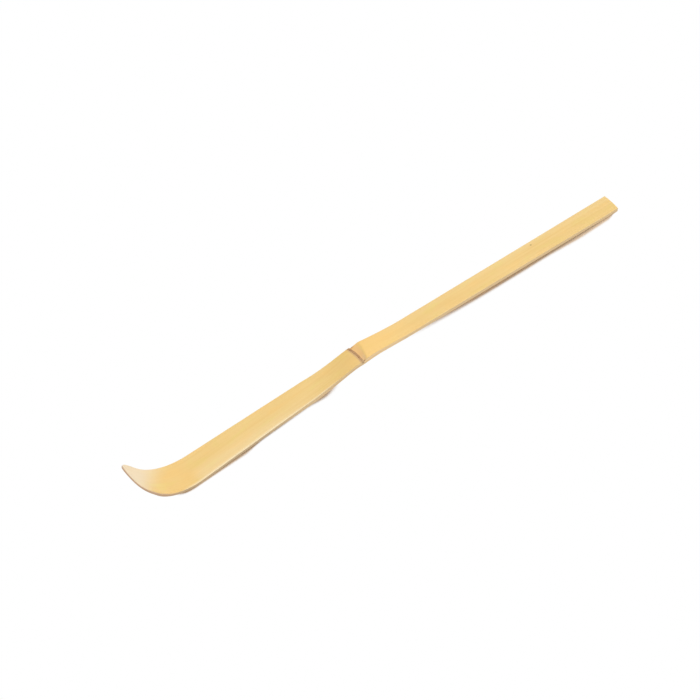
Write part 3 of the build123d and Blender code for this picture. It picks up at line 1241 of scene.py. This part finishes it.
def tone_edges(paint, edge):
    """Pale upper edges, partly worn and partly a painted highlight; sides in the colours of wood; and painted
    shade along the rim of the tip.
    """
    colours, finish = paint.colours, paint.finish
    rim = paint.rim()
    # Less of the pale edge and its painted highlight at the node
    kept = paint.along.band(paint.crest - PLAIN_NODE_EDGE_START, paint.lip + PLAIN_NODE_EDGE_STOP, PLAIN_NODE_EDGE_FADE)
    rim_shade = paint.past(paint.bend, RIM_SHADE)
    wear_and_highlight = paint.noise(EDGE_WEAR_AND_HIGHLIGHT, SOFT).ramp(*WEAR_AND_HIGHLIGHT_SHOWS)
    worn_and_highlit = (1.0 - kept * finish.plain_node_edge) * (1.0 - rim_shade) * wear_and_highlight
    handle_worn_and_highlit = finish.handle_edge
    worn_and_highlit = worn_and_highlit * (handle_worn_and_highlit + paint.past(paint.lip, TROUGH_WEAR_AND_HIGHLIGHT) * (1.0 - handle_worn_and_highlit))
    # Pale edges: partly wear, partly a painted highlight
    paint.tint(colours.skin_edge_and_highlight, rim.ramp(*WORN_AND_HIGHLIT_EDGE) * worn_and_highlit)
    side = rim.ramp(*SKIN_SIDE)
    paint.tint(colours.wood, side)
    tone_sides(paint, side, ring=1.0, dull=1.0)
    # Painted shade along the rim of the tip, on the face and the rounded edge
    face_rim_shade = edge.ramp(*FACE_RIM_SHADE_EDGE) * paint.past(paint.bend, FACE_RIM_SHADE)
    paint.tint(colours.rim_shade_wood, face_rim_shade * paint.across.ramp(*FACE_RIM_SHADE_HALF) * finish.face_rim_shade)
    paint.tint(colours.rim_shade_wood, rim.ramp(*RIM_SHADE_EDGE) * rim_shade)


def fleck_skin(paint):
    """Fine flecks all over, and one dark speck on the handle."""
    colours, finish = paint.colours, paint.finish
    flecks = paint.noise(SKIN_FLECKS, PLAIN).ramp(*FLECK_SHOWS)
    paint.tint(colours.skin_deep, flecks * finish.flecks)
    along = (paint.along - SPECK_FROM_BUTT) * (1 / SPECK_STRETCH)
    across = paint.across - SPECK_ACROSS
    spread = (along**2 + across**2) ** 0.5
    paint.tint(colours.speck, spread.ramp(*SPECK_SIZE) * finish.speck)


def skin_material(strip, settings):
    """Satin skin: long fine fibres, soft clouds, and tones that follow the node and the tip."""
    finish = settings.finish
    paint = BambooPaint("satin_skin", strip, settings, settings.colours.skin)
    fibres = paint.noise(SKIN_FIBRES, FINE)
    strands = paint.noise(SKIN_STRANDS, SOFT)
    groove = paint.along.band(paint.crest + GROOVE_START, paint.lip, GROOVE_FADE)
    groove = groove * paint.past(paint.lip, GROOVE_STOP)
    edge = paint.edge()
    grow_skin(paint, fibres, strands)
    tone_node(paint, groove)
    tone_faces(paint, edge)
    tone_edges(paint, edge)
    fleck_skin(paint)
    roughness = finish.skin_roughness + fibres * finish.skin_fibre_roughness
    roughness = roughness + groove * finish.groove_roughness
    height = fibres * FIBRE_RELIEF + strands * STRAND_RELIEF
    normal = paint.relief(height, finish.skin_relief, finish.skin_relief_strength)
    constants = {
        "Specular IOR Level": finish.skin_specular,
        "Coat Weight": finish.skin_coat,
        "Coat Roughness": finish.skin_coat_roughness,
    }
    return paint.done(roughness, normal, constants)


def wood_material(strip, settings):
    """Cut wood: bundles that run along the strip and show as dots where it is cut across."""
    colours, finish = settings.colours, settings.finish
    paint = BambooPaint("cut_wood", strip, settings, colours.wood)
    bundles = paint.cells(WOOD_BUNDLES)
    fibres = paint.noise(WOOD_FIBRES, FINE)
    clouds = CLOUD_LEAST + paint.noise(WOOD_CLOUDS, SOFT) * CLOUD_RANGE
    deep = bundles.ramp(*BUNDLE_SHOWS) * finish.bundles + fibres.ramp(*WOOD_FIBRE_SHOWS) * finish.wood_fibres
    paint.tint(colours.wood_deep, deep * clouds)
    paint.tint(colours.scar, paint.cells(WOOD_PORES).ramp(*PORE_SHOWS) * finish.pores)
    side = paint.rim().ramp(*WOOD_SIDE)
    # Painted shade along the sides of the scoop
    tone_sides(paint, side, ring=finish.wood_ring, dull=finish.shaded_wood)
    # Painted shade on the sides past the start of the bend
    paint.tint(colours.rim_shade_wood, side * paint.past(paint.bend, RIM_SHADE))
    roughness = finish.wood_roughness + fibres * finish.wood_fibre_roughness
    height = fibres * WOOD_FIBRE_RELIEF - bundles.ramp(*BUNDLE_SINKS) * BUNDLE_RELIEF
    normal = paint.relief(height, finish.wood_relief, finish.wood_relief_strength)
    return paint.done(roughness, normal, {"Specular IOR Level": finish.wood_specular})


def scar_material(strip, settings):
    """Dry torn fibres."""
    colours, finish = settings.colours, settings.finish
    paint = BambooPaint("torn_fibre", strip, settings, colours.scar)
    torn = paint.noise(SCAR_FIBRES, RAGGED)
    clouds = paint.noise(SCAR_CLOUDS, SOFT).ramp(*CLOUD_SHOWS)
    paint.tint(colours.scar_deep, torn.ramp(*TORN_SHOWS) * finish.torn + clouds * finish.scar_clouds)
    paint.tint(colours.shaded_wood, paint.across.ramp(*SCAR_NEAR) * finish.scar_near)
    roughness = finish.scar_roughness + torn * finish.scar_fibre_roughness
    normal = paint.relief(torn, finish.scar_relief, finish.scar_relief_strength)
    return paint.done(roughness, normal, {"Specular IOR Level": finish.scar_specular})


def material(name, strip, settings):
    """A material of the strip, made once."""
    makers = {"satin_skin": skin_material, "cut_wood": wood_material, "torn_fibre": scar_material}
    return bpy.data.materials.get(name) or makers[name](strip, settings)


# Pieces


class TEASCOOP_OT_woods(bpy.types.Operator):
    """Add the wood of the handle, the node and the scoop"""

    bl_idname = "tea_scoop.add_woods"
    bl_label = "Add Woods"

    def execute(self, context):
        settings = context.scene.tea_scoop
        strip = Strip(settings)
        surface = material("cut_wood", strip, settings)
        handle = Loft(strip, wood_layers, handle_stations(strip))
        handle.piece("handle_wood", surface)
        node = Loft(strip, wood_layers, node_stations(strip))
        node.piece("node_wood", surface)
        scoop = Loft(strip, wood_layers, scoop_stations(strip))
        scoop.piece("scoop_wood", surface, last_cap=False)
        return {"FINISHED"}


class TEASCOOP_OT_skins(bpy.types.Operator):
    """Add the skin of the handle and the skin of the scoop"""

    bl_idname = "tea_scoop.add_skins"
    bl_label = "Add Skins"

    def execute(self, context):
        settings = context.scene.tea_scoop
        strip = Strip(settings)
        surface = material("satin_skin", strip, settings)
        handle = Loft(strip, skin_layers, handle_stations(strip))
        handle.piece("handle_skin", surface)
        scoop = Loft(strip, skin_layers, lip_stations(strip) + scoop_stations(strip), leaning=True)
        scoop.piece("scoop_skin", surface, last_cap=False)
        return {"FINISHED"}


class TEASCOOP_OT_ring(bpy.types.Operator):
    """Add the stem ring with the skin that rises to it and the groove behind it"""

    bl_idname = "tea_scoop.add_ring"
    bl_label = "Add Stem Ring"

    def execute(self, context):
        settings = context.scene.tea_scoop
        strip = Strip(settings)
        ring = Loft(strip, skin_layers, ring_stations(strip), leaning=True)
        surface = material("satin_skin", strip, settings)
        ring.piece("stem_ring", surface)
        return {"FINISHED"}


class TEASCOOP_OT_scar(bpy.types.Operator):
    """Add the dark scar that the sheath left across the node"""

    bl_idname = "tea_scoop.add_scar"
    bl_label = "Add Sheath Scar"

    def execute(self, context):
        settings = context.scene.tea_scoop
        strip = Strip(settings)
        fray = settings.node.scar_fray
        scar = Loft(strip, skin_layers, scar_stations(strip), leaning=True, fray=fray)
        surface = material("torn_fibre", strip, settings)
        scar.piece("sheath_scar", surface)
        return {"FINISHED"}


class TEASCOOP_OT_septum(bpy.types.Operator):
    """Add the trimmed root of the wall that closed the culm, under the node"""

    bl_idname = "tea_scoop.add_septum"
    bl_label = "Add Node Septum"

    def execute(self, context):
        settings = context.scene.tea_scoop
        strip = Strip(settings)
        septum = Loft(strip, septum_layers, septum_stations(strip))
        surface = material("torn_fibre", strip, settings)
        septum.piece("node_septum", surface)
        return {"FINISHED"}


# Stage


WHITE = (1.0, 1.0, 1.0)
CONTACT_SAMPLES = 32
SENSOR_WIDTH = 36
CLIP_START = 10 * MM


def direction(azimuth, elevation):
    """Unit vector towards a place round the scoop; azimuth 0 is at -Y and 90 at +X."""
    return Vector(
        (
            math.sin(azimuth) * math.cos(elevation),
            -math.cos(azimuth) * math.cos(elevation),
            math.sin(elevation),
        )
    )


def table_light(paint, stage):
    """Light that reaches the table: open sky, more of it in some gaps and less beside the butt."""
    place = paint.node("ShaderNodeNewGeometry")[0]
    along, across, _ = paint.node("ShaderNodeSeparateXYZ", None, {0: place})
    fade = stage.contact_fade
    gap = along.band(stage.gap_lit_from, stage.gap_lit_to, fade)
    bend = along.ramp(stage.bend_lit + fade / 2, stage.bend_lit - fade / 2)
    butt = along.band(stage.butt_shade, stage.butt_shade + fade, 2 * fade)
    near_butt = butt * across.ramp(0.0, -stage.butt_shade_width)
    end = along.ramp(stage.butt_lit - fade / 2, stage.butt_lit + fade / 4)
    reach = {"Distance": stage.contact_reach}
    open_sky = paint.node("ShaderNodeAmbientOcclusion", {"samples": CONTACT_SAMPLES}, reach)[1]
    lit = open_sky + gap * stage.gap_light + bend * stage.bend_light + end * stage.butt_light
    return lit - near_butt * stage.butt_depth


def table_material(stage):
    """Table that the camera sees as white, with a soft shade close under the scoop."""
    paint = Paint(bpy.data.materials.new("table"))
    seen = paint.node("ShaderNodeLightPath")[0]
    clear = table_light(paint, stage).ramp(stage.contact_full, stage.contact_none)
    lit = paint.node("ShaderNodeBsdfDiffuse", None, {"Color": (stage.table,) * 3})[0]
    shaded = paint.node("ShaderNodeBsdfDiffuse", None, {"Color": stage.contact})[0]
    white = paint.node("ShaderNodeEmission", None, {"Color": WHITE, "Strength": 1.0})[0]
    surface = paint.mix_shader(lit, paint.mix_shader(shaded, white, clear), seen)
    paint.node("ShaderNodeOutputMaterial", None, {"Surface": surface})
    return paint.owner


class TEASCOOP_OT_stage(bpy.types.Operator):
    """Set the table, the light and the camera"""

    bl_idname = "tea_scoop.set_stage"
    bl_label = "Set Stage"

    def execute(self, context):
        stage = context.scene.tea_scoop.stage
        self.table(context.scene, stage)
        self.lights(context.scene, stage)
        self.room(context.scene, stage)
        self.camera(context.scene, stage)
        context.scene.view_settings.view_transform = "Standard"
        return {"FINISHED"}

    def table(self, scene, stage):
        half = stage.table_size / 2
        corners = [(-half, -half, 0), (half, -half, 0), (half, half, 0), (-half, half, 0)]
        mesh = bpy.data.meshes.new("table")
        mesh.from_pydata(corners, [], [(0, 1, 2, 3)])
        mesh.materials.append(table_material(stage))
        table = bpy.data.objects.new("table", mesh)
        scene.collection.objects.link(table)

    def lights(self, scene, stage):
        """Two broad lights, one from beyond the butt and one from above."""
        for name, energy, azimuth, elevation in (
            ("window", stage.window, stage.window_azimuth, stage.window_elevation),
            ("lamp", stage.lamp, stage.lamp_azimuth, stage.lamp_elevation),
        ):
            light = bpy.data.lights.new(name, "SUN")
            light.energy = energy
            light.angle = stage.softness
            source = bpy.data.objects.new(name, light)
            towards = direction(azimuth, elevation)
            source.rotation_euler = towards.to_track_quat("Z", "Y").to_euler()
            scene.collection.objects.link(source)

    def room(self, scene, stage):
        """Even light from all round, from walls that the camera sees as white."""
        scene.world = scene.world or bpy.data.worlds.new("room")
        paint = Paint(scene.world)
        seen = paint.node("ShaderNodeLightPath")[0]
        lit = paint.node("ShaderNodeBackground", None, {"Color": WHITE, "Strength": stage.room})[0]
        white = paint.node("ShaderNodeBackground", None, {"Color": WHITE, "Strength": 1.0})[0]
        paint.node("ShaderNodeOutputWorld", None, {"Surface": paint.mix_shader(lit, white, seen)})

    def camera(self, scene, stage):
        lens = bpy.data.cameras.new("camera")
        lens.sensor_width = SENSOR_WIDTH
        lens.lens = stage.lens
        lens.clip_start = CLIP_START
        camera = bpy.data.objects.new("camera", lens)
        back = direction(stage.azimuth, stage.elevation)
        camera.location = Vector(stage.aim) + back * stage.distance
        camera.rotation_euler = back.to_track_quat("Z", "Y").to_euler()
        scene.collection.objects.link(camera)
        scene.camera = camera


# Panel and registration


BUILDERS = (
    TEASCOOP_OT_woods,
    TEASCOOP_OT_skins,
    TEASCOOP_OT_ring,
    TEASCOOP_OT_scar,
    TEASCOOP_OT_septum,
    TEASCOOP_OT_stage,
)


class TEASCOOP_PT_sidebar(bpy.types.Panel):
    """Builders, sizes and colours of the tea scoop"""

    bl_idname = "TEASCOOP_PT_sidebar"
    bl_label = "Tea Scoop"
    bl_space_type = "VIEW_3D"
    bl_region_type = "UI"
    bl_category = "Tea Scoop"

    def draw(self, context):
        settings = context.scene.tea_scoop
        for builder in BUILDERS:
            self.layout.operator(builder.bl_idname)
        for group in TeaScoopSettings.__annotations__:
            box = self.layout.box()
            box.label(text=group.title())
            values = getattr(settings, group)
            for name in values.__annotations__:
                box.prop(values, name)


CLASSES = (
    StripSizes,
    HandleSizes,
    NodeSizes,
    ScoopSizes,
    BambooColours,
    BambooFinish,
    StageSettings,
    TeaScoopSettings,
    *BUILDERS,
    TEASCOOP_PT_sidebar,
)


def register():
    for cls in CLASSES:
        bpy.utils.register_class(cls)
    bpy.types.Scene.tea_scoop = bpy.props.PointerProperty(type=TeaScoopSettings)


def unregister():
    del bpy.types.Scene.tea_scoop
    for cls in reversed(CLASSES):
        bpy.utils.unregister_class(cls)


def main():
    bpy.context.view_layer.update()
    register()
    bpy.ops.tea_scoop.add_woods()
    bpy.ops.tea_scoop.add_skins()
    bpy.ops.tea_scoop.add_ring()
    bpy.ops.tea_scoop.add_scar()
    bpy.ops.tea_scoop.add_septum()
    bpy.ops.tea_scoop.set_stage()
    bpy.context.view_layer.update()


if __name__ == "__main__":
    main()
